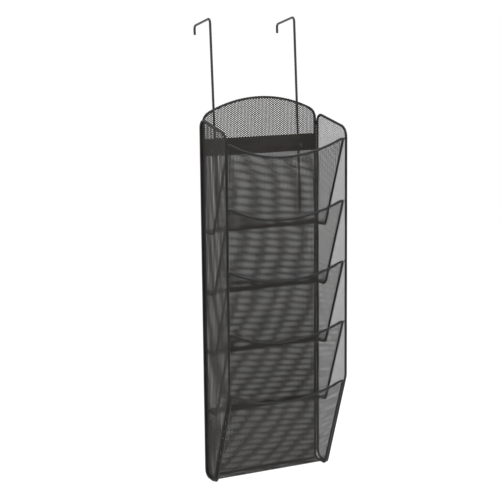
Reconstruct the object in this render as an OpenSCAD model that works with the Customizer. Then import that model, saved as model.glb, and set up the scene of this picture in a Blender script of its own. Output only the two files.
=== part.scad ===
// Five-pocket hanging file rack in black expanded-metal mesh, hung from the
// top of a partition panel by two bent wire hangers.
// Frame: X to the right, front of the rack towards -Y, Z up.
// Origin: centre of the rear face of the mounting band, the face that rests
// against the partition.
// Name endings: _d diameter, _r radius, _x _y _z a place along that axis.

/* [Rack body] */
// Overall width across the two side frames
body_width = 261; // [230:1:300]
// Depth from the back of the rear wires to the front of the side frames
body_depth = 121; // [105:1:140]
// Distance from the mounting face to the axis of the rear wires
standoff = 18; // [17:0.5:26]
// Height of the top of the arched back panel above the band centre
arch_z = 95.5; // [85:0.5:120]
// Radius of the arched top of the back panel
arch_r = 251; // [235:1:262]
// Height of the rear end of the side panels' sloping top edge
side_top_z = 58.8; // [50:0.2:66]
// Slope of the side panels' top edge, in degrees
side_top_angle = 10.4; // [6:0.2:14]
// Depth of the bottom wires of the side frames below the band centre
side_bottom_depth = 662; // [655:1:700]

/* [Pockets] */
// Vertical distance from one pocket rim to the next
pitch = 121.5; // [118:0.5:122]
// Height of the first pocket's rim corners above the band centre
rim_z = 19.5; // [16:0.5:22]
// Drop from the rim corners to the floor wires of the four upper pockets
pocket_height = 181.5; // [174:0.5:186]
// Lean of the four upper pocket fronts from the vertical, in degrees
front_lean = 21.9; // [19:0.1:23]
// Lean of the lowest pocket front and of the side frames beside it, in degrees
low_lean = 20.8; // [18:0.2:23]
// Angle at which the curved rims leave the side edges, in degrees
rim_angle = 30; // [22:0.5:33]
// Bend radius where a pocket front turns into its floor
floor_r = 10; // [7:0.5:12]

/* [Wire and sheet] */
// Diameter of the frame wires
wire_d = 4; // [3.4:0.1:4.4]
// Thickness of the mesh panels
mesh_thick = 1; // [0.8:0.1:1.2]
// Height of the sheet-steel mounting band
band_height = 34; // [28:1:40]
// Thickness of the sheet-steel mounting band
band_thick = 1.2; // [1:0.1:1.5]

/* [Hangers] */
// Diameter of the hanger wires
hanger_d = 4.8; // [4:0.1:5]
// Distance of each hanger from the middle of the rack
hanger_x = 92; // [70:1:100]
// Backward lean of the hangers, in degrees
hanger_lean = 3.5; // [2:0.1:3.5]
// Length of the hanger above the band centre, up to its top bend
hanger_up = 250.5; // [200:0.5:280]
// Length of the hanger below the band centre
hanger_down = 137; // [100:1:145]
// Distance between the front leg and the rear leg of a hanger
hook_width = 76; // [50:1:92]
// Length of the rear leg of a hanger
hook_drop = 17; // [12:1:60]
// Running clearance around the hanger in its clip, on the radius
fit = 0.05; // [0.02:0.01:0.1]

/* [Hidden] */

STEEL = [0.13, 0.13, 0.135];
MESH = [0.18, 0.18, 0.185];
SCREW_STEEL = [0.16, 0.16, 0.165];

gap = 0.1;         // clearance between welded pieces
thinning = 0.04;   // loss of diameter or thickness in a bend
lap = 0.15;        // overlap of a bend and a straight
ease = 0.01;       // a flat sheet's corner arcs sit this far in
wire_r = wire_d/2;
hanger_r = hanger_d/2;

// Wire axes, set inwards from the overall width and depth
back_y = -standoff;
front_y = back_y - (body_depth - wire_d);
side_x = body_width/2 - wire_r;
side_sheet_x = side_x - wire_r - gap - mesh_thick;   // inner face of the side sheets
pocket_x = side_sheet_x - gap - wire_r;
back_x = pocket_x;                                   // uprights of the back frame
side_back_y = back_y - 1;
back_sheet_y = back_y - wire_r - gap;                // rear face of the back sheet
pocket_back_y = back_sheet_y - mesh_thick - gap - wire_r;
pocket_front_y = front_y + 0.5;                      // rim corners
low_floor_z = -side_bottom_depth - 2;                // floor wires of the lowest pocket
back_bottom_z = low_floor_z - 1;

// Pockets are counted from 0 at the top; the last one differs
last_pocket = 4;
function rim_z_of(i) = rim_z - i*pitch;
function floor_z_of(i) = i < last_pocket ? rim_z_of(i) - pocket_height : low_floor_z;
function lean_of(i) = i < last_pocket ? front_lean : low_lean;
function fall_of(i) = rim_z_of(i) - floor_z_of(i);
function toe_y_of(i) = pocket_front_y + tan(lean_of(i))*fall_of(i);

// ---- vectors -----------------------------------------------------------
function unit(v) = v/norm(v);
function turn_between(from, to) = acos(max(-1, min(1, from*to)));
// left-hand normal of a flat vector
function left_of(v) = [-v[1], v[0]];
function flat_cross(from, to) = from[0]*to[1] - from[1]*to[0];
// some unit vector square to the given one
function square_to(axis) =
    unit(abs(axis[2]) < 0.9 ? cross([0, 0, 1], axis) : cross([1, 0, 0], axis));
// distance from a corner to either end of its bend
function bend_setback(before, corner, after, radius) =
    radius*tan(turn_between(unit(corner - before), unit(after - corner))/2);
function arc_facets(radius) = radius > 60 ? 240 : 64;

// places children so that their x, y and z axes lie along the given ones
module at_axes(x_axis, y_axis, z_axis, origin)
    multmatrix([for (i = [0:2]) [x_axis[i], y_axis[i], z_axis[i], origin[i]],
                [0, 0, 0, 1]]) children();

// places children at start with their z axis pointing to end
module aim(start, end) {
    axis = unit(end - start);
    side = square_to(axis);
    at_axes(side, cross(axis, side), axis, start) children();
}

// ---- wire --------------------------------------------------------------
module rod(start, end, diameter)
    aim(start, end) cylinder(h = norm(end - start), d = diameter, $fn = 40);

// chamfered end of a wire
tip_taper = 1.8;   // loss of diameter at the very end
module tip(start, end, diameter)
    aim(start, end)
        cylinder(h = norm(end - start), d1 = diameter - thinning,
                 d2 = diameter - tip_taper, $fn = 40);

// drawn wire thins a hair in its bends; each bend also laps into its straights
module bend(before, corner, after, radius, diameter) {
    dir_in = unit(corner - before);
    dir_out = unit(after - corner);
    angle = turn_between(dir_in, dir_out);
    inward = (dir_out - dir_in*cos(angle))/sin(angle);
    centre = corner - dir_in*radius*tan(angle/2) + inward*radius;
    lap_angle = lap/radius*180/PI;
    at_axes(-inward, dir_in, cross(-inward, dir_in), centre)
        rotate([0, 0, -lap_angle])
            rotate_extrude(angle = angle + 2*lap_angle, $fn = arc_facets(radius))
                translate([radius, 0]) circle(d = diameter - thinning, $fn = 40);
}

// round wire along points, with one bend radius for each (0 at open ends)
module wire_path(points, radii, diameter, closed = false) {
    n = len(points);
    setbacks = [for (i = [0:n - 1]) radii[i] == 0 ? 0
        : bend_setback(points[(i + n - 1) % n], points[i], points[(i + 1) % n], radii[i])];
    for (i = [0:(closed ? n - 1 : n - 2)]) {
        next = (i + 1) % n;
        along = unit(points[next] - points[i]);
        rod(points[i] + along*setbacks[i], points[next] - along*setbacks[next], diameter);
    }
    for (i = [0:n - 1]) if (radii[i] > 0)
        bend(points[(i + n - 1) % n], points[i], points[(i + 1) % n], radii[i], diameter);
}

// ---- sheet -------------------------------------------------------------
// flat outline through counter-clockwise points, each corner rounded to its
// radius: outward corners gain a sector, inward corners lose one
module rounded_outline(points, radii) {
    n = len(points);
    last = n - 1;
    dirs_in = [for (i = [0:last]) unit(points[i] - points[(i + n - 1) % n])];
    dirs_out = [for (i = [0:last]) unit(points[(i + 1) % n] - points[i])];
    setbacks = [for (i = [0:last]) radii[i]*tan(turn_between(dirs_in[i], dirs_out[i])/2)];
    senses = [for (i = [0:last]) flat_cross(dirs_in[i], dirs_out[i]) > 0 ? 1 : -1];
    starts = [for (i = [0:last]) points[i] - dirs_in[i]*setbacks[i]];
    ends = [for (i = [0:last]) points[i] + dirs_out[i]*setbacks[i]];
    centres = [for (i = [0:last]) starts[i] + senses[i]*radii[i]*left_of(dirs_in[i])];
    difference() {
        union() {
            polygon([for (i = [0:last])
                     for (point = (radii[i] == 0 ? [points[i]] : [starts[i], ends[i]])) point]);
            for (i = [0:last]) if (radii[i] > 0 && senses[i] > 0)
                corner_sector(centres[i], radii[i], starts[i], points[i], ends[i]);
        }
        for (i = [0:last]) if (radii[i] > 0 && senses[i] < 0)
            corner_sector(centres[i], radii[i], starts[i], points[i], ends[i]);
    }
}

// the factors carry the clipping kite past the arc, so only the circle shows
module corner_sector(centre, radius, start, corner, end)
    translate(centre) intersection() {
        circle(radius - ease, $fn = arc_facets(radius));
        polygon([[0, 0], 1.1*(start - centre), 1.5*(corner - centre), 1.1*(end - centre)]);
    }

// strip whose middle line runs through points with the given bend radii
module bent_strip(points, radii, thick) {
    last = len(points) - 1;
    setbacks = [for (i = [0:last]) (i == 0 || i == last) ? 0
                : bend_setback(points[i - 1], points[i], points[i + 1], radii[i])];
    for (i = [0:last - 1]) {
        along = unit(points[i + 1] - points[i]);
        half = left_of(along)*thick/2;
        start = points[i] + along*setbacks[i];
        end = points[i + 1] - along*setbacks[i + 1];
        polygon([start - half, end - half, end + half, start + half]);
    }
    for (i = [1:last - 1]) {
        radius = radii[i];
        dir_in = unit(points[i] - points[i - 1]);
        dir_out = unit(points[i + 1] - points[i]);
        sense = flat_cross(dir_in, dir_out) > 0 ? 1 : -1;
        centre = points[i] - dir_in*setbacks[i] + sense*radius*left_of(dir_in);
        // directions from the bend centre to the two lapped ends
        to_start = unit(points[i] - dir_in*(setbacks[i] + lap) - centre);
        to_end = unit(points[i] + dir_out*(setbacks[i] + lap) - centre);
        half_thick = (thick - thinning)/2;
        translate(centre) intersection() {
            difference() {
                circle(radius + half_thick, $fn = 64);
                circle(radius - half_thick, $fn = 64);
            }
            polygon([[0, 0], to_start*3*radius, unit(to_start + to_end)*6*radius,
                     to_end*3*radius]);
        }
    }
}

// ---- back panel --------------------------------------------------------
// the arch springs from two sloping lines, this far in from the uprights
arch_inset = 14.8;
arch_side_angle = asin((back_x - arch_inset)/arch_r);
arch_apex_z = arch_z + arch_r*(1/cos(arch_side_angle) - 1);
arch_shoulder_z = arch_apex_z - back_x*tan(arch_side_angle);
// x, z of each corner, and its bend radius
back_outline = [[-back_x, back_bottom_z], [back_x, back_bottom_z],
                [back_x, arch_shoulder_z], [0, arch_apex_z],
                [-back_x, arch_shoulder_z]];
back_bends = [10, 10, 24, arch_r, 24];

module back_frame_wire() color(STEEL)
    wire_path([for (p = back_outline) [p[0], back_y, p[1]]], back_bends, wire_d,
              closed = true);

module back_mesh_panel() color(MESH)
    translate([0, back_sheet_y, 0]) rotate([90, 0, 0])
        linear_extrude(mesh_thick) rounded_outline(back_outline, back_bends);

// ---- side panels: side is -1 for left, 1 for right ---------------------
// the front wire runs straight down to the knee, then slants back to the toe
side_knee_z = rim_z_of(last_pocket) + 8;
side_toe_y = front_y + tan(low_lean)*(side_knee_z + side_bottom_depth);
// y, z of each corner, and its bend radius
side_outline = [[side_back_y, -side_bottom_depth], [side_back_y, side_top_z],
                [front_y, side_top_z - (side_back_y - front_y)*tan(side_top_angle)],
                [front_y, side_knee_z], [side_toe_y, -side_bottom_depth]];
side_bends = [14, 14, 22, 15, 8];

module side_frame_wire(side) color(STEEL)
    wire_path([for (p = side_outline) [side*side_x, p[0], p[1]]], side_bends, wire_d,
              closed = true);

module side_mesh_panel(side) color(MESH)
    translate([side > 0 ? side_sheet_x : -side_sheet_x - mesh_thick, 0, 0])
        rotate([90, 0, 90]) linear_extrude(mesh_thick)
            rounded_outline(side_outline, side_bends);

module left_side_frame_wire() side_frame_wire(-1);
module right_side_frame_wire() side_frame_wire(1);
module left_side_mesh_panel() side_mesh_panel(-1);
module right_side_mesh_panel() side_mesh_panel(1);

// ---- pockets -----------------------------------------------------------
rim_corner_r = 3.5;
rim_straight = 1;    // straight between a rim corner's bend and the rim's curve
rim_drop = pocket_x*tan(rim_angle);
rim_r = (pocket_x/cos(rim_angle) - rim_corner_r*tan(45 + rim_angle/2) - rim_straight)
        /tan(rim_angle);
heel_r = 4;          // bend at the rear of the floor
flange_height = 5;   // upturn at the rear of the floor
front_spare = 2;     // extra sheet above the rim corners, cut off again
cut_depth = 16;      // thickness of the block that trims the front
cut_margin = 10;     // its reach beyond the sheet
cut_ease = 0.02;     // the kept outline is this much wider than the sheet

// one wire: down the rear left, along the floor, up the front edge, across the
// curved rim and back by the same way on the right
module pocket_frame_wire(i) {
    top = rim_z_of(i);
    floor = floor_z_of(i);
    flange_top = floor + flange_height;
    lean = lean_of(i);
    toe_y = toe_y_of(i);
    x = pocket_x;
    color(STEEL) wire_path(
        [[-x, pocket_back_y, flange_top], [-x, pocket_back_y, floor], [-x, toe_y, floor],
         [-x, pocket_front_y, top],
         [0, pocket_front_y + rim_drop*sin(lean), top - rim_drop*cos(lean)],
         [x, pocket_front_y, top],
         [x, toe_y, floor], [x, pocket_back_y, floor], [x, pocket_back_y, flange_top]],
        [0, heel_r, floor_r, rim_corner_r, rim_r, rim_corner_r, floor_r, heel_r, 0],
        wire_d);
}

// one sheet, inside the wire: leaning front cut to the curve of the rim, then
// the floor and a short upturn against the back panel; points are y and height
// above the floor wire
module pocket_mesh(i) {
    x = pocket_x;
    inset = wire_r + gap + mesh_thick/2;   // wire axis to sheet middle
    fall = fall_of(i);
    lean = lean_of(i);
    toe = [toe_y_of(i) + inset*tan(45 - lean/2), inset];
    heel = [pocket_back_y - inset, inset];
    front_top = toe + [-sin(lean), cos(lean)]*(fall/cos(lean) + front_spare);
    color(MESH) translate([0, 0, floor_z_of(i)]) difference() {
        translate([-x, 0, 0]) rotate([90, 0, 90]) linear_extrude(2*x)
            bent_strip([front_top, toe, heel, [heel[0], flange_height]],
                       [0, floor_r - inset, heel_r - inset, 0], mesh_thick);
        translate([0, pocket_front_y, fall]) rotate([90 - lean, 0, 0])
            translate([0, 0, -cut_depth/2]) linear_extrude(cut_depth) difference() {
                translate([-x - cut_margin, -rim_drop - cut_margin])
                    square([2*(x + cut_margin), rim_drop + 3*cut_margin]);
                rounded_outline([[-x - cut_ease, -rim_drop - 2*cut_margin],
                                 [x + cut_ease, -rim_drop - 2*cut_margin],
                                 [x + cut_ease, 0], [0, -rim_drop], [-x - cut_ease, 0]],
                                [0, 0, rim_corner_r, rim_r, rim_corner_r]);
            }
    }
}

module pocket_1_frame_wire() pocket_frame_wire(0);
module pocket_2_frame_wire() pocket_frame_wire(1);
module pocket_3_frame_wire() pocket_frame_wire(2);
module pocket_4_frame_wire() pocket_frame_wire(3);
module pocket_5_frame_wire() pocket_frame_wire(4);
module pocket_1_mesh() pocket_mesh(0);
module pocket_2_mesh() pocket_mesh(1);
module pocket_3_mesh() pocket_mesh(2);
module pocket_4_mesh() pocket_mesh(3);
module pocket_5_mesh() pocket_mesh(4);

// ---- clip and screw sizes ----------------------------------------------
clip_z = -5.5;                    // middle of the hanger clips
clip_height = 11;
clip_thick = 1.1;
clip_r = hanger_r + fit + clip_thick;
tab_length = 8.5;                 // reach of the tab beyond the loop
tab_thick = 2*clip_thick;
tab_inset = 0.5;                  // tab edges inside the ends of the loop
tab_front_y = -band_thick - gap/2 - tab_thick;
screw_x = hanger_x + clip_r + 3.6;
screw_r = 1.5;
screw_hole_r = screw_r + fit;

// ---- mounting band -----------------------------------------------------
band_bend_r = 3;                  // outer radius of the band's corners
band_x = back_x + band_thick/2;   // outer faces of the turned ends
band_reach = standoff - wire_r - gap;

// filled U open to the front, set in from the outer faces; overrun lengthens it
module band_fill(inset, overrun) {
    half = band_x - inset;
    bend_x = band_x - band_bend_r;
    translate([-half, -band_reach - overrun])
        square([2*half, band_reach + overrun - band_bend_r]);
    translate([-bend_x, -band_bend_r - 1]) square([2*bend_x, band_bend_r + 1 - inset]);
    for (side = [-1, 1]) translate([side*bend_x, -band_bend_r])
        circle(band_bend_r - inset, $fn = 48);
}

// sheet-steel strip whose ends turn forward and meet the rear wires
module mounting_band() color(STEEL)
    difference() {
        translate([0, 0, -band_height/2]) linear_extrude(band_height) difference() {
            band_fill(inset = 0, overrun = 0);
            band_fill(inset = band_thick, overrun = 1);
        }
        for (side = [-1, 1]) translate([side*screw_x, 1, clip_z])
            rotate([90, 0, 0]) cylinder(h = band_thick + 2, r = screw_hole_r, $fn = 40);
    }

// ---- hangers -----------------------------------------------------------
hanger_y = -band_thick - hanger_r - 1.2;   // hanger axis at the band centre
hook_slope = 8.5;                          // fall of the top run, in degrees
hook_bend_r = 8;
tip_length = 1;
// formed in their own plane, which leans back
hanger_rearward = [0, cos(hanger_lean), -sin(hanger_lean)];
hanger_upward = [0, sin(hanger_lean), cos(hanger_lean)];

module hanger(side) {
    function place(rear, up) =
        [side*hanger_x, hanger_y, 0] + hanger_upward*up + hanger_rearward*rear;
    rear_top = hanger_up - hook_width*tan(hook_slope);
    rear_end = rear_top - hook_drop;
    color(STEEL) {
        wire_path([place(0, -hanger_down), place(0, hanger_up),
                   place(hook_width, rear_top), place(hook_width, rear_end)],
                  [0, hook_bend_r, hook_bend_r, 0], hanger_d);
        for (end = [[0, -hanger_down], [hook_width, rear_end]])
            tip(place(end[0], end[1] + lap), place(end[0], end[1] - tip_length), hanger_d);
    }
}

module left_hanger() hanger(-1);
module right_hanger() hanger(1);

// ---- hanger clips and their screws -------------------------------------
// closed loop around the hanger with a flat tab screwed to the band
module hanger_clip(side) {
    centre = [side*hanger_x, hanger_y, 0] + hanger_upward*clip_z;
    half = hanger_upward*clip_height/2;
    half_bore = hanger_upward*(clip_height/2 + 2);
    color(STEEL) difference() {
        union() {
            rod(centre - half, centre + half, 2*clip_r);
            translate([side > 0 ? hanger_x : -hanger_x - clip_r - tab_length,
                       tab_front_y, clip_z - clip_height/2 + tab_inset])
                cube([clip_r + tab_length, tab_thick, clip_height - 2*tab_inset]);
        }
        rod(centre - half_bore, centre + half_bore, 2*(hanger_r + fit));
        translate([side*screw_x, 0, clip_z]) rotate([90, 0, 0])
            cylinder(h = 12, r = screw_hole_r, $fn = 40);
    }
}

module left_hanger_clip() hanger_clip(-1);
module right_hanger_clip() hanger_clip(1);

head_r = 3;
head_rim = 1.2;        // height of the head's straight rim
head_crown = 0.9;      // height of the tapered crown above it
crown_r = 1.9;         // radius of the crown's flat top
recess_length = 3;
recess_width = 0.6;
recess_floor = 1.2;    // height of the recess floor above the tab

// pan-head screw with a cross recess, clamping the clip's tab
module clip_screw(side) {
    tab_face = -tab_front_y;
    head_base = tab_face + gap/2;
    color(SCREW_STEEL) translate([side*screw_x, 0, clip_z]) rotate([90, 0, 0])
        difference() {
            union() {
                cylinder(h = tab_face + gap, r = screw_r, $fn = 40);
                translate([0, 0, head_base]) cylinder(h = head_rim, r = head_r, $fn = 48);
                translate([0, 0, head_base + head_rim])
                    cylinder(h = head_crown, r1 = head_r, r2 = crown_r, $fn = 48);
            }
            for (angle = [0, 90])
                translate([0, 0, tab_face + recess_floor]) rotate([0, 0, angle])
                    translate([-recess_length/2, -recess_width/2, 0])
                        cube([recess_length, recess_width, 2]);
        }
}

module left_clip_screw() clip_screw(-1);
module right_clip_screw() clip_screw(1);

// ---- what is drawn -----------------------------------------------------
back_frame_wire();
back_mesh_panel();
left_side_frame_wire();
left_side_mesh_panel();
right_side_frame_wire();
right_side_mesh_panel();
pocket_1_frame_wire();
pocket_2_frame_wire();
pocket_3_frame_wire();
pocket_4_frame_wire();
pocket_5_frame_wire();
pocket_1_mesh();
pocket_2_mesh();
pocket_3_mesh();
pocket_4_mesh();
pocket_5_mesh();
mounting_band();
left_hanger();
right_hanger();
left_hanger_clip();
right_hanger_clip();
left_clip_screw();
right_clip_screw();
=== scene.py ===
"""Hanging rack of black wire and expanded steel mesh with five pockets.

It stands upright: x runs left (-) to right (+), y front (-) to back (+), z up. The CAD pieces
give the wires, band, hangers and screws. This script adds the mesh, its hems and the weld
beads, then the materials and the studio. Shapes are worked out in mm and built in metres.
"""

import math
import random

import bmesh
import bpy
import numpy as np
from mathutils import Matrix, Vector


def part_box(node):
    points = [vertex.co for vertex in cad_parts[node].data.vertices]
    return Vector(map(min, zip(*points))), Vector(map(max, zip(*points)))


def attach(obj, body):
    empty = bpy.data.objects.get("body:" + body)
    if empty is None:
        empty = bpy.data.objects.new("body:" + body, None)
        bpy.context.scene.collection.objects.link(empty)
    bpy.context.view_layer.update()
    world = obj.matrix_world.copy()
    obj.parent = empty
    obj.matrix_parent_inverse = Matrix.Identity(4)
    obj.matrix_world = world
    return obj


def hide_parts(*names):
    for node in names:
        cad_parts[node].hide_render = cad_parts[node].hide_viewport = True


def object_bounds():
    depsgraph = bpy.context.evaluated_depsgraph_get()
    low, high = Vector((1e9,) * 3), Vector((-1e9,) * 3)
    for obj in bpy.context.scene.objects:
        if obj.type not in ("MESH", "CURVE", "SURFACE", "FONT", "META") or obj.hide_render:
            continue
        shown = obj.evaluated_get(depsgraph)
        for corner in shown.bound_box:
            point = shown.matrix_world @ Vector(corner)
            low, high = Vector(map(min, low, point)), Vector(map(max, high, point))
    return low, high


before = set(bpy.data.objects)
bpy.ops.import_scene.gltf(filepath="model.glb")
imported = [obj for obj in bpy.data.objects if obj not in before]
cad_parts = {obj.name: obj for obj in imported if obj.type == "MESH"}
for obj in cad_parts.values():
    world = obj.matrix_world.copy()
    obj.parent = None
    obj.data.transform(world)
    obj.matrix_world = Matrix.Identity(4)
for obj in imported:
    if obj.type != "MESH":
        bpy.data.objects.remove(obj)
cad_lo, cad_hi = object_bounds()

MM = 0.001
RNG = random.Random(7)
SIDES = ((-1, "left"), (1, "right"))

# ---------------------------------------------------------------- expanded mesh sizes
# Pitch of the diamonds (width, height), and the open share of a diamond's width and height
PITCH = (6.12, 4.0)
POCKET_PITCH = (6.5, 4.0)
BACK_OPEN = (0.42, 0.655)       # back panel above z = 0
LOW_OPEN = (0.205, 0.74)        # back panel just below z = 0
SIDE_OPEN = (0.655, 0.65)
POCKET_OPEN = (0.69, 0.72)
FLOOR_OPEN = (0.40, 0.42)       # pocket floors
HEM_OPEN = (0.58, 0.58)
LOW_LOSS = 0.32                 # share of the opening lost on the way down the back
SIDE_LOSS = 0.12                # and down the sides

THICK = 0.94                    # ridge to ridge thickness of a strand in the back
THIN = 0.62                     # in the sides and pockets
HEM_THICK = 0.86                # and in the hems
TILT = 0.16                     # how far a diamond's top and bottom corners leave the plane
SIDE_LEAN = 1.5                 # lean of the side strands along y, per mm of thickness
BACK_SPLIT = -280               # height where the lower back sheet is cut in two

EDGE_SHIFT = 0.5                # how far a sheet moves along its normal at its edge
EDGE_WIDTH = 3.0                # width of the strip that moves
EDGE_SLACK = 1.2                # nodes this far outside the outline are pulled back to it

HEM_R = 2.24                    # radius of the mesh tube round a wire
HEM_ROWS = 4
POCKET_HEM_TRIM = 2.5           # bare wire at each end of a pocket's hem

# ---------------------------------------------------------------- frame wires, from the CAD
low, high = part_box("back_frame_wire")
WIRE_R = (high.y - low.y) / 2 / MM
BACK_X = high.x / MM - WIRE_R
BACK_Y = (high.y + low.y) / 2 / MM
BACK_BOTTOM = low.z / MM + WIRE_R
ARCH_Z = high.z / MM - WIRE_R
low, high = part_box("right_side_frame_wire")
SIDE_X = (low.x + high.x) / 2 / MM
SIDE_FRONT_Y = low.y / MM + WIRE_R
SIDE_BACK_Y = high.y / MM - WIRE_R
SIDE_BOTTOM = low.z / MM + WIRE_R
low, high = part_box("right_side_mesh_panel")
SIDE_SHEET_X = (low.x + high.x) / 2 / MM
low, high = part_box("back_mesh_panel")
BACK_SHEET_Y = (low.y + high.y) / 2 / MM
low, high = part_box("pocket_1_frame_wire")
POCKET_X = high.x / MM - WIRE_R
POCKET_FRONT_Y = low.y / MM + WIRE_R
POCKET_BACK_Y = high.y / MM - WIRE_R

# Pockets, numbered from the top
POCKETS = 5
FRONT_LEAN = [math.radians(21.9)] * 4 + [math.radians(20.8)]
FLOOR_Z = [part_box(f"pocket_{i + 1}_frame_wire")[0].z / MM + WIRE_R for i in range(POCKETS)]
FIRST_RIM_RISE = 181.5          # first rim corner above the first floor
RIM_STEP = 121.5                # from one rim down to the next
RIM_Z = [FLOOR_Z[0] + FIRST_RIM_RISE - RIM_STEP * i for i in range(POCKETS)]
FLOOR_R, BACK_R, RIM_CORNER_R = 10.0, 4.0, 3.5      # bends of a pocket's wire
FLANGE = 5.0                    # upturn at the back of the floor
SHEET_OFF = WIRE_R + 0.6        # from the wire's axis to the sheet
SHEET_EXTRA = 6                 # profile length beyond the rim corners
RIM_SLOPE = math.radians(30)    # the rim dips from both corners to its middle
RIM_DROP = POCKET_X * math.tan(RIM_SLOPE)
RIM_R = (POCKET_X / math.cos(RIM_SLOPE)
         - RIM_CORNER_R * math.tan(math.pi / 4 + RIM_SLOPE / 2) - 1) / math.tan(RIM_SLOPE)

# Back outline: an arch on top
ARCH_R = 251
ARCH_INSET = 14.8               # the arch ends this far in from each side
SHOULDER_R, BACK_CORNER_R = 24, 10

# Side outline
SIDE_PEAK_Z = 58.8              # where the back and top wires would meet, above their bend
SIDE_TOP_SLOPE = math.radians(10.4)
KNEE_RISE = 8                   # the front turns inwards this far above the lowest rim
SIDE_RADII = [14, 14, 22, 15, 8]    # back bottom, back top, front top, knee, toe


# ---------------------------------------------------------------- curves
def rounded(points, radii, closed, step=1.0):
    """Polyline through the points with rounded corners, as dense points."""
    points = [np.array(p, float) for p in points]
    bent = []
    for i, corner in enumerate(points):
        if radii[i] == 0:
            bent.append(corner)
            continue
        before = corner - points[i - 1]
        after = points[(i + 1) % len(points)] - corner
        before /= np.linalg.norm(before)
        after /= np.linalg.norm(after)
        turn = math.acos(max(-1, min(1, float(before @ after))))
        tangent = radii[i] * math.tan(turn / 2)
        inward = (after - before * math.cos(turn)) / math.sin(turn)
        centre = corner - before * tangent + inward * radii[i]
        count = max(4, int(radii[i] * turn / step))
        for k in range(count + 1):
            angle = turn * k / count
            bent.append(centre + radii[i] * (-inward * math.cos(angle)
                                             + before * math.sin(angle)))
    if closed:
        bent.append(bent[0])
    dense = [bent[0]]
    for start, end in zip(bent, bent[1:]):
        length = np.linalg.norm(end - start)
        if length < 1e-6:
            continue
        count = max(1, int(length / 8))
        for k in range(1, count + 1):
            dense.append(start + (end - start) * k / count)
    return np.array(dense)


def nearest(outline, points):
    """Signed distance to a closed outline (positive inside) and the nearest points on it."""
    starts = outline[:-1]
    edges = outline[1:] - starts
    squares = (edges ** 2).sum(1)
    best = np.full(len(points), 1e9)
    foot = np.zeros_like(points)
    inside = np.zeros(len(points), bool)
    for start, edge, square in zip(starts, edges, squares):
        along = np.clip(((points - start) @ edge) / square, 0, 1)
        on_edge = start + along[:, None] * edge
        dist = np.hypot(*(points - on_edge).T)
        closer = dist < best
        best[closer] = dist[closer]
        foot[closer] = on_edge[closer]
        # even-odd test: count the edges crossed on the way out along +x
        end_y = start[1] + edge[1]
        if abs(edge[1]) > 1e-12:
            spans = (start[1] > points[:, 1]) != (end_y > points[:, 1])
            cross_x = start[0] + (points[:, 1] - start[1]) / edge[1] * edge[0]
            inside ^= spans & (points[:, 0] < cross_x)
    return np.where(inside, best, -best), foot


def pulled_inside(outline, points):
    """Points outside moved onto the outline, with distances inside and nearest outline points."""
    dist, foot = nearest(outline, points)
    outside = dist < 0
    points[outside] = foot[outside]
    return points, np.maximum(dist, 0), foot


def inside_test(outline, warp):
    """Which lattice points belong to a sheet."""
    return lambda u, v: nearest(outline, warp(u, v))[0] > -EDGE_SLACK


def edge_shift(dist):
    return EDGE_SHIFT * np.clip(1 - dist / EDGE_WIDTH, 0, 1)


def arc_length(path):
    steps = np.linalg.norm(np.diff(path, axis=0), axis=1)
    return np.concatenate([[0], np.cumsum(steps)])


def unit_rows(vectors):
    return vectors / np.linalg.norm(vectors, axis=1)[:, None]


# ---------------------------------------------------------------- objects
def add_object(name, data):
    ob = bpy.data.objects.new(name, data)
    bpy.context.scene.collection.objects.link(ob)
    return ob


def add_rack_mesh(name, mesh):
    """Smooth-shaded mesh that rides on the rack."""
    mesh.polygons.foreach_set("use_smooth", [True] * len(mesh.polygons))
    mesh.update()
    ob = add_object(name, mesh)
    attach(ob, "rack")
    return ob


# ---------------------------------------------------------------- expanded mesh
DIAGONALS = ((1, 1), (-1, 1), (1, -1), (-1, -1))


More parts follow.
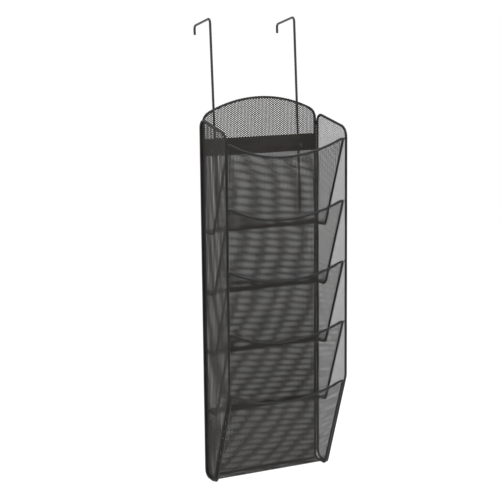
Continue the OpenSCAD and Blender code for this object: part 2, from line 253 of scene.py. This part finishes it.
def lattice(name, keep, place, pitch, columns, rows, open_share, thick,
            tilt=TILT, lean=0.0, wraps=(None, None)):
    """Welded expanded mesh.

    Nodes sit at half-pitch points (i, j) with i + j odd, holes where i + j is even. keep(u, v)
    picks the nodes, place(u, v, w) gives points in mm, and open_share(v) the open share of a
    diamond. wraps are the counts after which columns and rows close on themselves. Every
    strand has a four-sided section with its ridges at +-thick / 2.
    """
    width, height = pitch

    def wrap(i, j):
        return (i % wraps[0] if wraps[0] else i, j % wraps[1] if wraps[1] else j)

    grid_i, grid_j = np.meshgrid(np.arange(columns[0], columns[1] + 1),
                                 np.arange(rows[0], rows[1] + 1), indexing="ij")
    odd = (grid_i + grid_j) % 2 == 1
    node_i, node_j = grid_i[odd], grid_j[odd]
    kept = keep(node_i * width / 2, node_j * height / 2)
    nodes = {wrap(int(i), int(j)) for i, j in zip(node_i[kept], node_j[kept])}

    # ridges at a node, and the east, west, north and south corners of a hole:
    # shares of the half opening along u and v, and w
    corners = {"front": (0, 0, thick / 2), "back": (0, 0, -thick / 2),
               "E": (1, 0, 0), "W": (-1, 0, 0), "N": (0, 1, tilt), "S": (0, -1, -tilt)}
    index, places = {}, []

    def vert(kind, i, j):
        i, j = wrap(i, j)
        key = (kind, i, j)
        if key not in index:
            index[key] = len(places)
            u, v = i * width / 2, j * height / 2
            share = open_share(v)
            across, along, w = corners[kind]
            places.append((u + across * (width / 2 * share[0]),
                           v + along * (height / 2 * share[1]), w))
        return index[key]

    faces = []
    for i, j in sorted(nodes):
        # each strand once: from this node up-right and up-left
        for di in (1, -1):
            if wrap(i + di, j + 1) not in nodes:
                continue
            front, back = vert("front", i, j), vert("back", i, j)
            end_front, end_back = vert("front", i + di, j + 1), vert("back", i + di, j + 1)
            # corners of the hole beside the node, then of the hole above it
            beside = vert("E" if di < 0 else "W", i + di, j)
            beside_top = vert("N", i + di, j)
            above_foot = vert("S", i, j + 1)
            above = vert("E" if di > 0 else "W", i, j + 1)
            quads = [(front, beside, beside_top, end_front),
                     (front, end_front, above, above_foot),
                     (back, end_back, beside_top, beside),
                     (back, above_foot, above, end_back)]
            faces += [quad[::-1] for quad in quads] if di < 0 else quads
        # caps where a strand is missing, unless the node has no strand at all
        missing = [(di, dj) for di, dj in DIAGONALS if wrap(i + di, j + dj) not in nodes]
        if len(missing) == len(DIAGONALS):
            continue
        for di, dj in missing:
            front, back = vert("front", i, j), vert("back", i, j)
            beside = vert("W" if di > 0 else "E", i + di, j)
            over = vert("S" if dj > 0 else "N", i, j + dj)
            cap = (front, beside, back, over)
            faces.append(cap[::-1] if di * dj < 0 else cap)

    places = np.array(places)
    places[:, 0] += places[:, 2] * lean
    mesh = bpy.data.meshes.new(name)
    mesh.from_pydata((place(*places.T) * MM).tolist(), [], faces)
    return add_rack_mesh(name, mesh)


def uneven(slant_u, slant_v, phase):
    """Rows of a cut sheet lie neither quite square nor quite even: slants and slow waves."""
    wave, ripple = 0.14, 0.10       # amplitudes; the divisors below set the wavelengths

    def warp(u, v):
        du = (slant_u * v + wave * np.sin(v / 17 + phase)
              + ripple * np.sin(u / 11 + v / 29 + 2 * phase))
        dv = (slant_v * u + wave * np.sin(u / 15 + 3 * phase)
              + ripple * np.sin(v / 13 - u / 24 + phase))
        return np.stack([u + du, v + dv], 1)
    return warp


def flat_sheet(name, outline, to_space, slants, phase, open_shares, thick, cuts=(), lean=0.0):
    """Expanded mesh filling a flat outline (the axis of the frame wire).

    cuts are the lattice rows where the sheet is divided into pieces, each with its own open
    share.
    """
    warp = uneven(*slants, phase)
    least, most = outline.min(0), outline.max(0)
    reach = np.maximum(abs(least), abs(most))
    ranges = []
    for k in (0, 1):
        margin = 3 + int(abs(slants[k]) * reach[1 - k] / PITCH[k] * 2)
        ranges.append((int(least[k] / PITCH[k] * 2) - margin,
                       int(most[k] / PITCH[k] * 2) + margin))
    columns, (bottom, top) = ranges

    def place(u, v, w):
        points, dist, _ = pulled_inside(outline, warp(u, v))
        return to_space(points[:, 0], points[:, 1], w - edge_shift(dist))

    ends = [bottom, *cuts, top]
    return [lattice(f"{name}_{k + 1}" if cuts else name, inside_test(outline, warp), place,
                    PITCH, columns, rows, open_shares[k], thick, lean=lean)
            for k, rows in enumerate(zip(ends, ends[1:]))]


def hem(name, path, closed, reference, trim=0.0):
    """The sheet's edge wrapped round the frame wire: a tube of mesh along the path.

    The rows are counted round the tube from the reference direction.
    """
    s = arc_length(path)
    length = s[-1] - trim - trim
    cells = max(2, round(length / PITCH[0]))
    pitch = (length / cells, 2 * math.pi * HEM_R / HEM_ROWS)
    tangents = np.gradient(path, s, axis=0)
    if closed:
        tangents[0] = tangents[-1] = path[1] - path[-2]
    tangents = unit_rows(tangents)
    reference = np.array(reference, float)
    first = unit_rows(np.array([reference - t * (reference @ t) for t in tangents]))
    second = np.cross(tangents, first)

    def place(u, v, w):
        along = (trim + u) % s[-1] if closed else np.clip(trim + u, 0, s[-1])
        angle = v / HEM_R
        out = np.zeros((len(u), 3))
        for k in range(3):
            centre, one, two = (np.interp(along, s, values[:, k])
                                for values in (path, first, second))
            out[:, k] = centre + (HEM_R + w) * (np.cos(angle) * one + np.sin(angle) * two)
        return out

    return lattice(name, lambda u, v: np.ones(len(u), bool), place, pitch,
                   columns=(0, 2 * cells - (1 if closed else 0)), rows=(0, 2 * HEM_ROWS - 1),
                   open_share=lambda v: HEM_OPEN, thick=HEM_THICK, tilt=0.0,
                   wraps=(2 * cells if closed else None, 2 * HEM_ROWS))


# ---------------------------------------------------------------- back and side panels
def back_outline():
    """x, z of the back wire."""
    slope = math.asin((BACK_X - ARCH_INSET) / ARCH_R)
    apex = ARCH_Z + ARCH_R * (1 / math.cos(slope) - 1)
    shoulder = apex - BACK_X * math.tan(slope)
    return rounded([(-BACK_X, BACK_BOTTOM), (BACK_X, BACK_BOTTOM), (BACK_X, shoulder),
                    (0, apex), (-BACK_X, shoulder)],
                   [BACK_CORNER_R, BACK_CORNER_R, SHOULDER_R, ARCH_R, SHOULDER_R], True)


def side_outline():
    """y, z of a side wire."""
    knee = RIM_Z[-1] + KNEE_RISE
    toe_y = SIDE_FRONT_Y + math.tan(FRONT_LEAN[-1]) * (knee - SIDE_BOTTOM)
    front_top = SIDE_PEAK_Z - (SIDE_BACK_Y - SIDE_FRONT_Y) * math.tan(SIDE_TOP_SLOPE)
    return rounded([(SIDE_BACK_Y, SIDE_BOTTOM), (SIDE_BACK_Y, SIDE_PEAK_Z),
                    (SIDE_FRONT_Y, front_top), (SIDE_FRONT_Y, knee), (toe_y, SIDE_BOTTOM)],
                   SIDE_RADII, True)


def depth(v):
    """0 at z = 0, -1 at the bottom of the back."""
    return max(v / -BACK_BOTTOM, -1.0)


def low_open(v):
    scale = 1 + LOW_LOSS * depth(v)
    return LOW_OPEN[0] * scale, LOW_OPEN[1] * scale


def side_open(v):
    scale = 1 + SIDE_LOSS * min(depth(v), 0.0)
    return SIDE_OPEN[0] * scale, SIDE_OPEN[1] * scale


def back_sheets(outline):
    return flat_sheet("back_expanded_mesh", outline,
                      lambda u, v, w: np.stack([u, BACK_SHEET_Y - w, v], 1),
                      slants=(0.004, -0.004), phase=0.4,
                      open_shares=(low_open, low_open, lambda v: BACK_OPEN), thick=THICK,
                      cuts=(int(round(BACK_SPLIT / PITCH[1] * 2)), 0))


def side_sheets(outline, sign, side):
    return flat_sheet(f"{side}_side_expanded_mesh", outline,
                      lambda u, v, w: np.stack([sign * (SIDE_SHEET_X - w), u, v], 1),
                      slants=(0.01, 0.0), phase=1.7 + sign, open_shares=(side_open,),
                      thick=THIN, lean=SIDE_LEAN)


# ---------------------------------------------------------------- pockets
def pocket_rim(rim_shift):
    """Rim curve as x and distance along the sheet, running from right to left."""
    base = -RIM_DROP - 40
    rim = rounded([(-POCKET_X, base), (POCKET_X, base), (POCKET_X, 0), (0, -RIM_DROP),
                   (-POCKET_X, 0)], [0, 0, RIM_CORNER_R, RIM_R, RIM_CORNER_R], True)
    rim = rim[rim[:, 1] > base + 1]     # drop the base line
    rim = rim[np.argsort(-rim[:, 0])]
    return np.stack([rim[:, 0], rim_shift + rim[:, 1]], 1)


def pocket_sheet(i, toe):
    """One sheet bent up at the back, along the floor and up the leaning front."""
    lean = FRONT_LEAN[i]
    fall = RIM_Z[i] - FLOOR_Z[i]
    rise = fall / math.cos(lean) + SHEET_EXTRA
    up = np.array([-math.sin(lean), math.cos(lean)])
    # y and height above the floor wire's axis
    bend = np.array([toe + SHEET_OFF * math.tan(math.pi / 4 - lean / 2), SHEET_OFF])
    heel = np.array([POCKET_BACK_Y - SHEET_OFF, SHEET_OFF])
    profile = rounded([(heel[0], FLANGE), heel, bend, bend + up * rise],
                      [0, BACK_R - SHEET_OFF, FLOOR_R - SHEET_OFF, 0], False, step=0.3)
    s = arc_length(profile)
    tangents = unit_rows(np.gradient(profile, s, axis=0))
    normals = np.stack([tangents[:, 1], -tangents[:, 0]], 1)    # towards the wires

    # distance along the slope from the rim corners to the end of the profile
    past_rim = float((bend - np.array([POCKET_FRONT_Y, fall])) @ up) + rise
    outline = np.concatenate([[[-POCKET_X, 0.0], [POCKET_X, 0.0]],
                              pocket_rim(s[-1] - past_rim), [[-POCKET_X, 0.0]]])
    warp = uneven(0.008 - 0.004 * i, 0.026 + 0.003 * (i % 3), 2.0 + i)

    def place(u, v, w):
        points, dist, foot = pulled_inside(outline, warp(u, v))
        x, along = points.T
        # the back edge of the floor does not move; 9 is well beyond the moving strip
        near_rim = np.where(foot[:, 1] > 1.0, dist, 9)
        near_side = np.maximum(POCKET_X - np.abs(x), 0)
        w = w + edge_shift(np.minimum(near_side, near_rim))
        y, z = (np.interp(along, s, profile[:, k]) + w * np.interp(along, s, normals[:, k])
                for k in (0, 1))
        return np.stack([x, y, z + FLOOR_Z[i]], 1)

    blend_start = FLANGE + heel[0] - bend[0] - 3
    blend_length = 9

    def open_share(v):
        t = min(max((v - blend_start) / blend_length, 0.0), 1.0)
        return tuple(p + (q - p) * t for p, q in zip(FLOOR_OPEN, POCKET_OPEN))

    last_column = int(POCKET_X / POCKET_PITCH[0] * 2) + 3
    last_row = int(s[-1] / POCKET_PITCH[1] * 2) + 9
    return lattice(f"pocket_{i + 1}_expanded_mesh", inside_test(outline, warp), place,
                   POCKET_PITCH, (-last_column, last_column), (-6, last_row), open_share, THIN)


def pocket_hem(i, toe):
    """Hem along the pocket's wire, from the back left round the rim to the back right."""
    rim_z, floor_z, lean = RIM_Z[i], FLOOR_Z[i], FRONT_LEAN[i]
    half = [(POCKET_BACK_Y, floor_z + FLANGE), (POCKET_BACK_Y, floor_z), (toe, floor_z),
            (POCKET_FRONT_Y, rim_z)]
    radii = [0, BACK_R, FLOOR_R, RIM_CORNER_R]
    dip = (0, POCKET_FRONT_Y + RIM_DROP * math.sin(lean), rim_z - RIM_DROP * math.cos(lean))
    points = ([(-POCKET_X, y, z) for y, z in half] + [dip]
              + [(POCKET_X, y, z) for y, z in half[::-1]])
    path = rounded(points, radii + [RIM_R] + radii[::-1], False, step=0.6)
    return hem(f"pocket_{i + 1}_mesh_hem", path, False, (0.31, 0.67, -0.67),
               trim=POCKET_HEM_TRIM)


# ---------------------------------------------------------------- weld beads
def bead(bm, centre, axis, length, width, height):
    """A small lens-shaped weld with ripples along it, made by lofting rings."""
    axis = Vector(axis).normalized()
    side = axis.orthogonal().normalized()
    other = axis.cross(side)
    steps, around = 10, 12
    phase = RNG.random() * 6
    rings = []
    for k in range(steps + 1):
        t = k / steps * 2 - 1
        radius = math.sqrt(max(0.0, 1 - t * t)) * (1 + 0.10 * math.sin(t * 9 + phase))
        ring = []
        for a in range(1 if k in (0, steps) else around):
            angle = a / around * 2 * math.pi
            wobble = 1 + 0.06 * math.sin(3 * angle + phase * 2 + t * 2)
            point = (Vector(centre) + axis * (t * length / 2)
                     + side * (math.cos(angle) * radius * wobble * width / 2)
                     + other * (math.sin(angle) * radius * wobble * height / 2))
            ring.append(bm.verts.new(point * MM))
        rings.append(ring)
    for ring, following in zip(rings, rings[1:]):
        for a in range(around):
            b = (a + 1) % around
            if len(ring) == 1:
                face = (ring[0], following[b], following[a])
            elif len(following) == 1:
                face = (ring[a], ring[b], following[0])
            else:
                face = (ring[a], ring[b], following[b], following[a])
            bm.faces.new(face)


def weld_beads():
    upright = (0, 0, 1)
    seam_top, seam_step, seam_clear = 40, 118, 30   # beads joining side and back wires, in z
    bm = bmesh.new()
    for sign, _ in SIDES:
        for rim_z, floor_z in zip(RIM_Z, FLOOR_Z):
            # rim corner to side wire
            bead(bm, (sign * (POCKET_X + SIDE_X) / 2,
                      (POCKET_FRONT_Y + SIDE_FRONT_Y) / 2 + 0.9, rim_z - 2.4),
                 axis=(1, 0, -0.2), length=4.6, width=3.4, height=3.6)
            # end of the pocket wire, towards the back panel
            bead(bm, (sign * POCKET_X, (POCKET_BACK_Y + BACK_Y) / 2, floor_z + 4),
                 axis=upright, length=5.5, width=3.2, height=3.4)
        z = seam_top
        while z > SIDE_BOTTOM + seam_clear:
            bead(bm, (sign * (BACK_X + SIDE_X) / 2, (BACK_Y + SIDE_BACK_Y) / 2 + 0.4, z),
                 axis=upright, length=8, width=4.0, height=3.0)
            z -= seam_step
        # behind the back wire, just below and above z = 0
        for z in (-11, 11):
            bead(bm, (sign * (BACK_X - 1.2), BACK_Y + WIRE_R + 0.6, z),
                 axis=upright, length=7, width=3.0, height=2.6)
    mesh = bpy.data.meshes.new("weld_beads")
    bmesh.ops.recalc_face_normals(bm, faces=bm.faces)
    bm.to_mesh(mesh)
    bm.free()
    ob = add_rack_mesh("weld_beads", mesh)
    return ob


# ---------------------------------------------------------------- build the rack
sheets, hems = [], []       # (CAD piece replaced, object)
back = back_outline()
side_wire = side_outline()
sheets += [("back_mesh_panel", ob) for ob in back_sheets(back)]
for sign, side in SIDES:
    sheets += [(f"{side}_side_mesh_panel", ob) for ob in side_sheets(side_wire, sign, side)]

path = np.stack([back[:, 0], np.full(len(back), BACK_Y), back[:, 1]], 1)
hems.append(("back_mesh_panel", hem("back_mesh_hem", path, True, (0, 1, 0))))
for sign, side in SIDES:
    path = np.column_stack([np.full(len(side_wire), sign * SIDE_X), side_wire])
    hems.append((f"{side}_side_mesh_panel",
                 hem(f"{side}_side_mesh_hem", path, True, (1, 0, 0))))

for i in range(POCKETS):
    toe = POCKET_FRONT_Y + math.tan(FRONT_LEAN[i]) * (RIM_Z[i] - FLOOR_Z[i])
    sheets.append((f"pocket_{i + 1}_mesh", pocket_sheet(i, toe)))
    hems.append((f"pocket_{i + 1}_mesh", pocket_hem(i, toe)))
beads = weld_beads()


# ---------------------------------------------------------------- shader helpers
def feed(tree, socket, value):
    """Link a socket, or set its value."""
    if isinstance(value, bpy.types.NodeSocket):
        tree.links.new(value, socket)
    else:
        socket.default_value = value


def add_node(tree, kind, inputs=None, **settings):
    node = tree.nodes.new(kind)
    for name, value in settings.items():
        setattr(node, name, value)
    for key, value in (inputs or {}).items():
        feed(tree, node.inputs[key], value)
    return node


def object_place(tree):
    return add_node(tree, "ShaderNodeTexCoord").outputs["Object"]


def split(tree, vector):
    return add_node(tree, "ShaderNodeSeparateXYZ", {0: vector}).outputs


def normal_z(tree):
    return split(tree, add_node(tree, "ShaderNodeNewGeometry").outputs["Normal"])["Z"]


def noise(tree, place, scale, detail=3.0, roughness=0.55):
    return add_node(tree, "ShaderNodeTexNoise", {
        "Scale": scale, "Detail": detail, "Roughness": roughness,
        "Vector": place}).outputs["Fac"]


def ramp(tree, source, span, to):
    """Map the span of the source onto the range to, clamped."""
    return add_node(tree, "ShaderNodeMapRange", {
        "From Min": span[0], "From Max": span[1], "To Min": to[0], "To Max": to[1],
        "Value": source}).outputs["Result"]


def mix(tree, factor, *colours):
    one, two = ((*c, 1) if isinstance(c, tuple) else c for c in colours)
    return add_node(tree, "ShaderNodeMix", {6: one, 7: two, 0: factor},
                    data_type="RGBA").outputs[2]


def calc(tree, operation, a, b=0.0):
    return add_node(tree, "ShaderNodeMath", {0: a, 1: b}, operation=operation).outputs[0]


def bump(tree, height, strength, distance):
    return add_node(tree, "ShaderNodeBump", {
        "Strength": strength, "Distance": distance, "Height": height}).outputs["Normal"]


def new_material(name):
    material = bpy.data.materials.new(name)
    material.use_nodes = True
    return material, material.node_tree


def paint(ob, material):
    ob.data.materials.clear()
    ob.data.materials.append(material)


# ---------------------------------------------------------------- materials
def coat(name, base, rough, specular, grain=1400.0, wear_and_shade=None):
    """Black powder coat: orange peel, faint mottling, dust on upward faces, optional extra marks
    (rubbed paint, painted shade).
    """
    mottle = 0.35       # how far the colour strays from the base
    material, tree = new_material(name)
    tree.nodes.clear()
    output = add_node(tree, "ShaderNodeOutputMaterial")
    surface = add_node(tree, "ShaderNodeBsdfPrincipled")
    tree.links.new(surface.outputs[0], output.inputs[0])
    place = object_place(tree)
    blotches = noise(tree, place, scale=22.0, detail=4.0)
    specks = noise(tree, place, scale=600.0, detail=2.0)
    peel = noise(tree, place, scale=grain, detail=2.0, roughness=0.5)

    lighter = tuple(c * (1 + mottle) for c in base)
    darker = tuple(c * (1 - mottle * 0.6) for c in base)
    speck_colour = tuple(c * 1.9 + 0.004 for c in base)
    dust_colour = (0.20, 0.20, 0.195)
    colour = mix(tree, ramp(tree, blotches, span=(0.35, 0.65), to=(0, 1)), darker, lighter)
    colour = mix(tree, ramp(tree, specks, span=(0.58, 0.72), to=(0, 0.35)),
                 colour, speck_colour)
    roughness = ramp(tree, specks, span=(0.3, 0.7), to=(rough - 0.05, rough + 0.07))
    colour = mix(tree, ramp(tree, normal_z(tree), span=(0.55, 1.0), to=(0.0, 0.10)),
                 colour, dust_colour)
    if wear_and_shade:
        colour, roughness = wear_and_shade(tree, place, colour, roughness)
    for key, value in {"Base Color": colour, "Roughness": roughness,
                       "Specular IOR Level": specular,
                       "Normal": bump(tree, peel, strength=0.25, distance=0.00012)}.items():
        feed(tree, surface.inputs[key], value)
    return material


def hanger_wear(tree, place, colour, roughness):
    """Rubbed paint under the hooks, and where the legs slide in the clips."""
    bare_colour, bare_roughness = (0.16, 0.16, 0.165), 0.28
    z = split(tree, place)["Z"]
    facing = normal_z(tree)
    under = calc(tree, "MULTIPLY",
                 ramp(tree, z, span=(0.215, 0.228), to=(0.0, 1.0)),
                 ramp(tree, facing, span=(-0.2, -0.8), to=(0.0, 1.0)))
    from_clip = calc(tree, "ABSOLUTE", calc(tree, "ADD", z, 0.0055))
    slide = ramp(tree, from_clip, span=(0.010, 0.045), to=(0.55, 0.0))
    mask = calc(tree, "MAXIMUM", under, slide)
    scratches = noise(tree, place, scale=900.0, detail=4.0, roughness=0.7)
    mask = calc(tree, "MULTIPLY", mask,
                ramp(tree, scratches, span=(0.48, 0.60), to=(0.0, 1.0)))
    mask = calc(tree, "MINIMUM", mask, 0.75)
    colour = mix(tree, mask, colour, bare_colour)
    rubbed = add_node(tree, "ShaderNodeMix", {0: mask, 2: roughness, 3: bare_roughness})
    return colour, rubbed.outputs[0]


def band_shade_and_rubbing(tree, place, colour, roughness):
    """Painted shade: the coat darkens towards the right end, where the reflection falls off; with
    faint grey rubbing all over.
    """
    painted_shade_colour, rubbed = (0.009, 0.009, 0.0092), (0.075, 0.075, 0.076)
    # painted shade: the colour darkens towards the right end of the band
    end = ramp(tree, split(tree, place)["X"], span=(0.0, 0.11), to=(0.0, 0.62))
    colour = mix(tree, end, colour, painted_shade_colour)
    rubbing = noise(tree, place, scale=70.0, detail=5.0, roughness=0.65)
    colour = mix(tree, ramp(tree, rubbing, span=(0.56, 0.70), to=(0.0, 0.30)),
                 colour, rubbed)
    return colour, roughness


def zinc():
    """Zinc plate, with a fine grain in its colour, roughness and relief."""
    material, tree = new_material("screw_zinc")
    grain = noise(tree, object_place(tree), scale=1500, detail=4, roughness=0.5)
    shades = add_node(tree, "ShaderNodeValToRGB", {0: grain})
    stops = ((0.35, (0.20, 0.20, 0.21, 1)), (0.65, (0.52, 0.53, 0.55, 1)))
    for element, (position, colour) in zip(shades.color_ramp.elements, stops):
        element.position = position
        element.color = colour
    surface = tree.nodes["Principled BSDF"]
    for key, value in {"Base Color": shades.outputs[0], "Metallic": 0.9,
                       "Roughness": ramp(tree, grain, span=(0, 1), to=(0.22, 0.45)),
                       "Normal": bump(tree, grain, strength=0.2, distance=0.00005)}.items():
        feed(tree, surface.inputs[key], value)
    return material


mesh_coat = coat("mesh_powder_coat", (0.026, 0.0228, 0.0198),
                 rough=0.42, specular=0.35, grain=2200.0)
# painted shade: a darker copy of the mesh coat, used on the pocket sheets
shaded_pocket_coat = coat("pocket_mesh_powder_coat_painted_shade", (0.018, 0.0158, 0.0138),
                   rough=0.42, specular=0.30, grain=2200.0)
wire_coat = coat("wire_powder_coat", (0.010, 0.010, 0.0105), rough=0.38, specular=0.35)
# painted shade: a darker, less glossy copy of the wire coat, used on every hem
shaded_hem_coat = coat("hem_powder_coat_painted_shade", (0.007, 0.0067, 0.0065),
                rough=0.40, specular=0.25, grain=2200.0)
# the band's coat carries painted shade, darker towards its right end
band_coat = coat("band_powder_coat", (0.057, 0.057, 0.0572),
                 rough=0.45, specular=0.35, grain=1100.0, wear_and_shade=band_shade_and_rubbing)
hanger_coat = coat("hanger_powder_coat", (0.016, 0.016, 0.0165),
                   rough=0.36, specular=0.4, wear_and_shade=hanger_wear)
screw_zinc = zinc()

for name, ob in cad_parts.items():
    if name.endswith("hanger"):
        paint(ob, hanger_coat)
    elif name.endswith("screw"):
        paint(ob, screw_zinc)
    elif name == "mounting_band" or name.endswith("clip"):
        paint(ob, band_coat)
    else:
        paint(ob, wire_coat)
for name, ob in sheets:
    paint(ob, shaded_pocket_coat if name.startswith("pocket") else mesh_coat)
for name, ob in hems:
    paint(ob, shaded_hem_coat)
for name, ob in sheets + hems:
    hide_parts(name)
paint(beads, wire_coat)


# ---------------------------------------------------------------- floor and world
def camera_white(tree, shader, output, glow_kind, share):
    """Blend a surface or background to plain white where the camera looks straight at it."""
    is_camera = add_node(tree, "ShaderNodeLightPath").outputs["Is Camera Ray"]
    factor = calc(tree, "MULTIPLY", is_camera, share)
    glow = add_node(tree, glow_kind, {"Color": (1, 1, 1, 1), "Strength": 1.05})
    blend = add_node(tree, "ShaderNodeMixShader", {0: factor, 1: shader, 2: glow.outputs[0]})
    tree.links.new(blend.outputs[0], output.inputs[0])


def add_floor():
    half_size, drop = 60, 0.16      # metres; drop is below the lowest CAD point
    material, tree = new_material("floor")
    surface = tree.nodes["Principled BSDF"]
    surface.inputs["Base Color"].default_value = (0.93, 0.93, 0.93, 1)
    surface.inputs["Roughness"].default_value = 0.9
    surface.inputs["Specular IOR Level"].default_value = 0.1
    camera_white(tree, surface.outputs[0], tree.nodes["Material Output"],
                 "ShaderNodeEmission", share=0.85)
    bm = bmesh.new()
    bmesh.ops.create_grid(bm, x_segments=4, y_segments=4, size=half_size)
    mesh = bpy.data.meshes.new("floor")
    bm.to_mesh(mesh)
    bm.free()
    floor = add_object("floor", mesh)
    floor.location = (0, 0, cad_lo.z - drop)
    paint(floor, material)


def add_world():
    world = bpy.data.worlds.new("studio")
    bpy.context.scene.world = world
    world.use_nodes = True
    tree = world.node_tree
    background = tree.nodes["Background"]
    background.inputs["Color"].default_value = (1.0, 1.0, 1.0, 1)
    background.inputs["Strength"].default_value = 0.85
    camera_white(tree, background.outputs[0], tree.nodes["World Output"],
                 "ShaderNodeBackground", share=1.0)


add_floor()
add_world()


# ---------------------------------------------------------------- lights and camera
def softbox(name, location, size, power):
    """Rectangular light (metres, watts) aimed at the rack."""
    light = bpy.data.lights.new(name, "AREA")
    light.shape = "RECTANGLE"
    light.size, light.size_y = size
    light.energy = power
    ob = add_object(name, light)
    ob.location = location
    aim = Vector((0, 0, -0.2)) - Vector(location)
    ob.rotation_mode = "QUATERNION"
    ob.rotation_quaternion = aim.to_track_quat("-Z", "Y")


softbox("top_softbox", (0.0, -0.7, 2.6), size=(2.2, 1.6), power=38)
softbox("key_softbox", (-1.9, -2.3, 1.6), size=(1.5, 1.5), power=26)
softbox("fill_softbox", (2.4, -1.6, 0.6), size=(1.6, 1.6), power=10)
softbox("back_softbox", (0.6, 2.6, 1.2), size=(1.8, 1.8), power=14)


def add_camera():
    """Long lens, to the left of the rack's front and a little above it."""
    azimuth, elevation, roll = (math.radians(a) for a in (-25.845, 10.39, -0.612))
    position = (-1.2036, -2.4505, 0.2876)
    backward = Vector((math.sin(azimuth) * math.cos(elevation),
                       -math.cos(azimuth) * math.cos(elevation), math.sin(elevation)))
    level = Vector((math.cos(azimuth), math.sin(azimuth), 0))
    upward = backward.cross(level)
    rolled_right = level * math.cos(roll) + upward * math.sin(roll)
    rolled_up = -level * math.sin(roll) + upward * math.cos(roll)

    camera = bpy.data.cameras.new("camera")
    camera.sensor_width = 36
    camera.lens = 98.97012
    camera.shift_x = 0.0005
    camera.clip_start, camera.clip_end = 0.05, 200
    ob = add_object("camera", camera)
    pose = Matrix.Identity(4)
    for k, column in enumerate((rolled_right, rolled_up, backward, position)):
        for row in range(3):
            pose[row][k] = column[row]
    ob.matrix_world = pose
    bpy.context.scene.camera = ob


add_camera()
bpy.context.scene.view_settings.view_transform = "Standard"
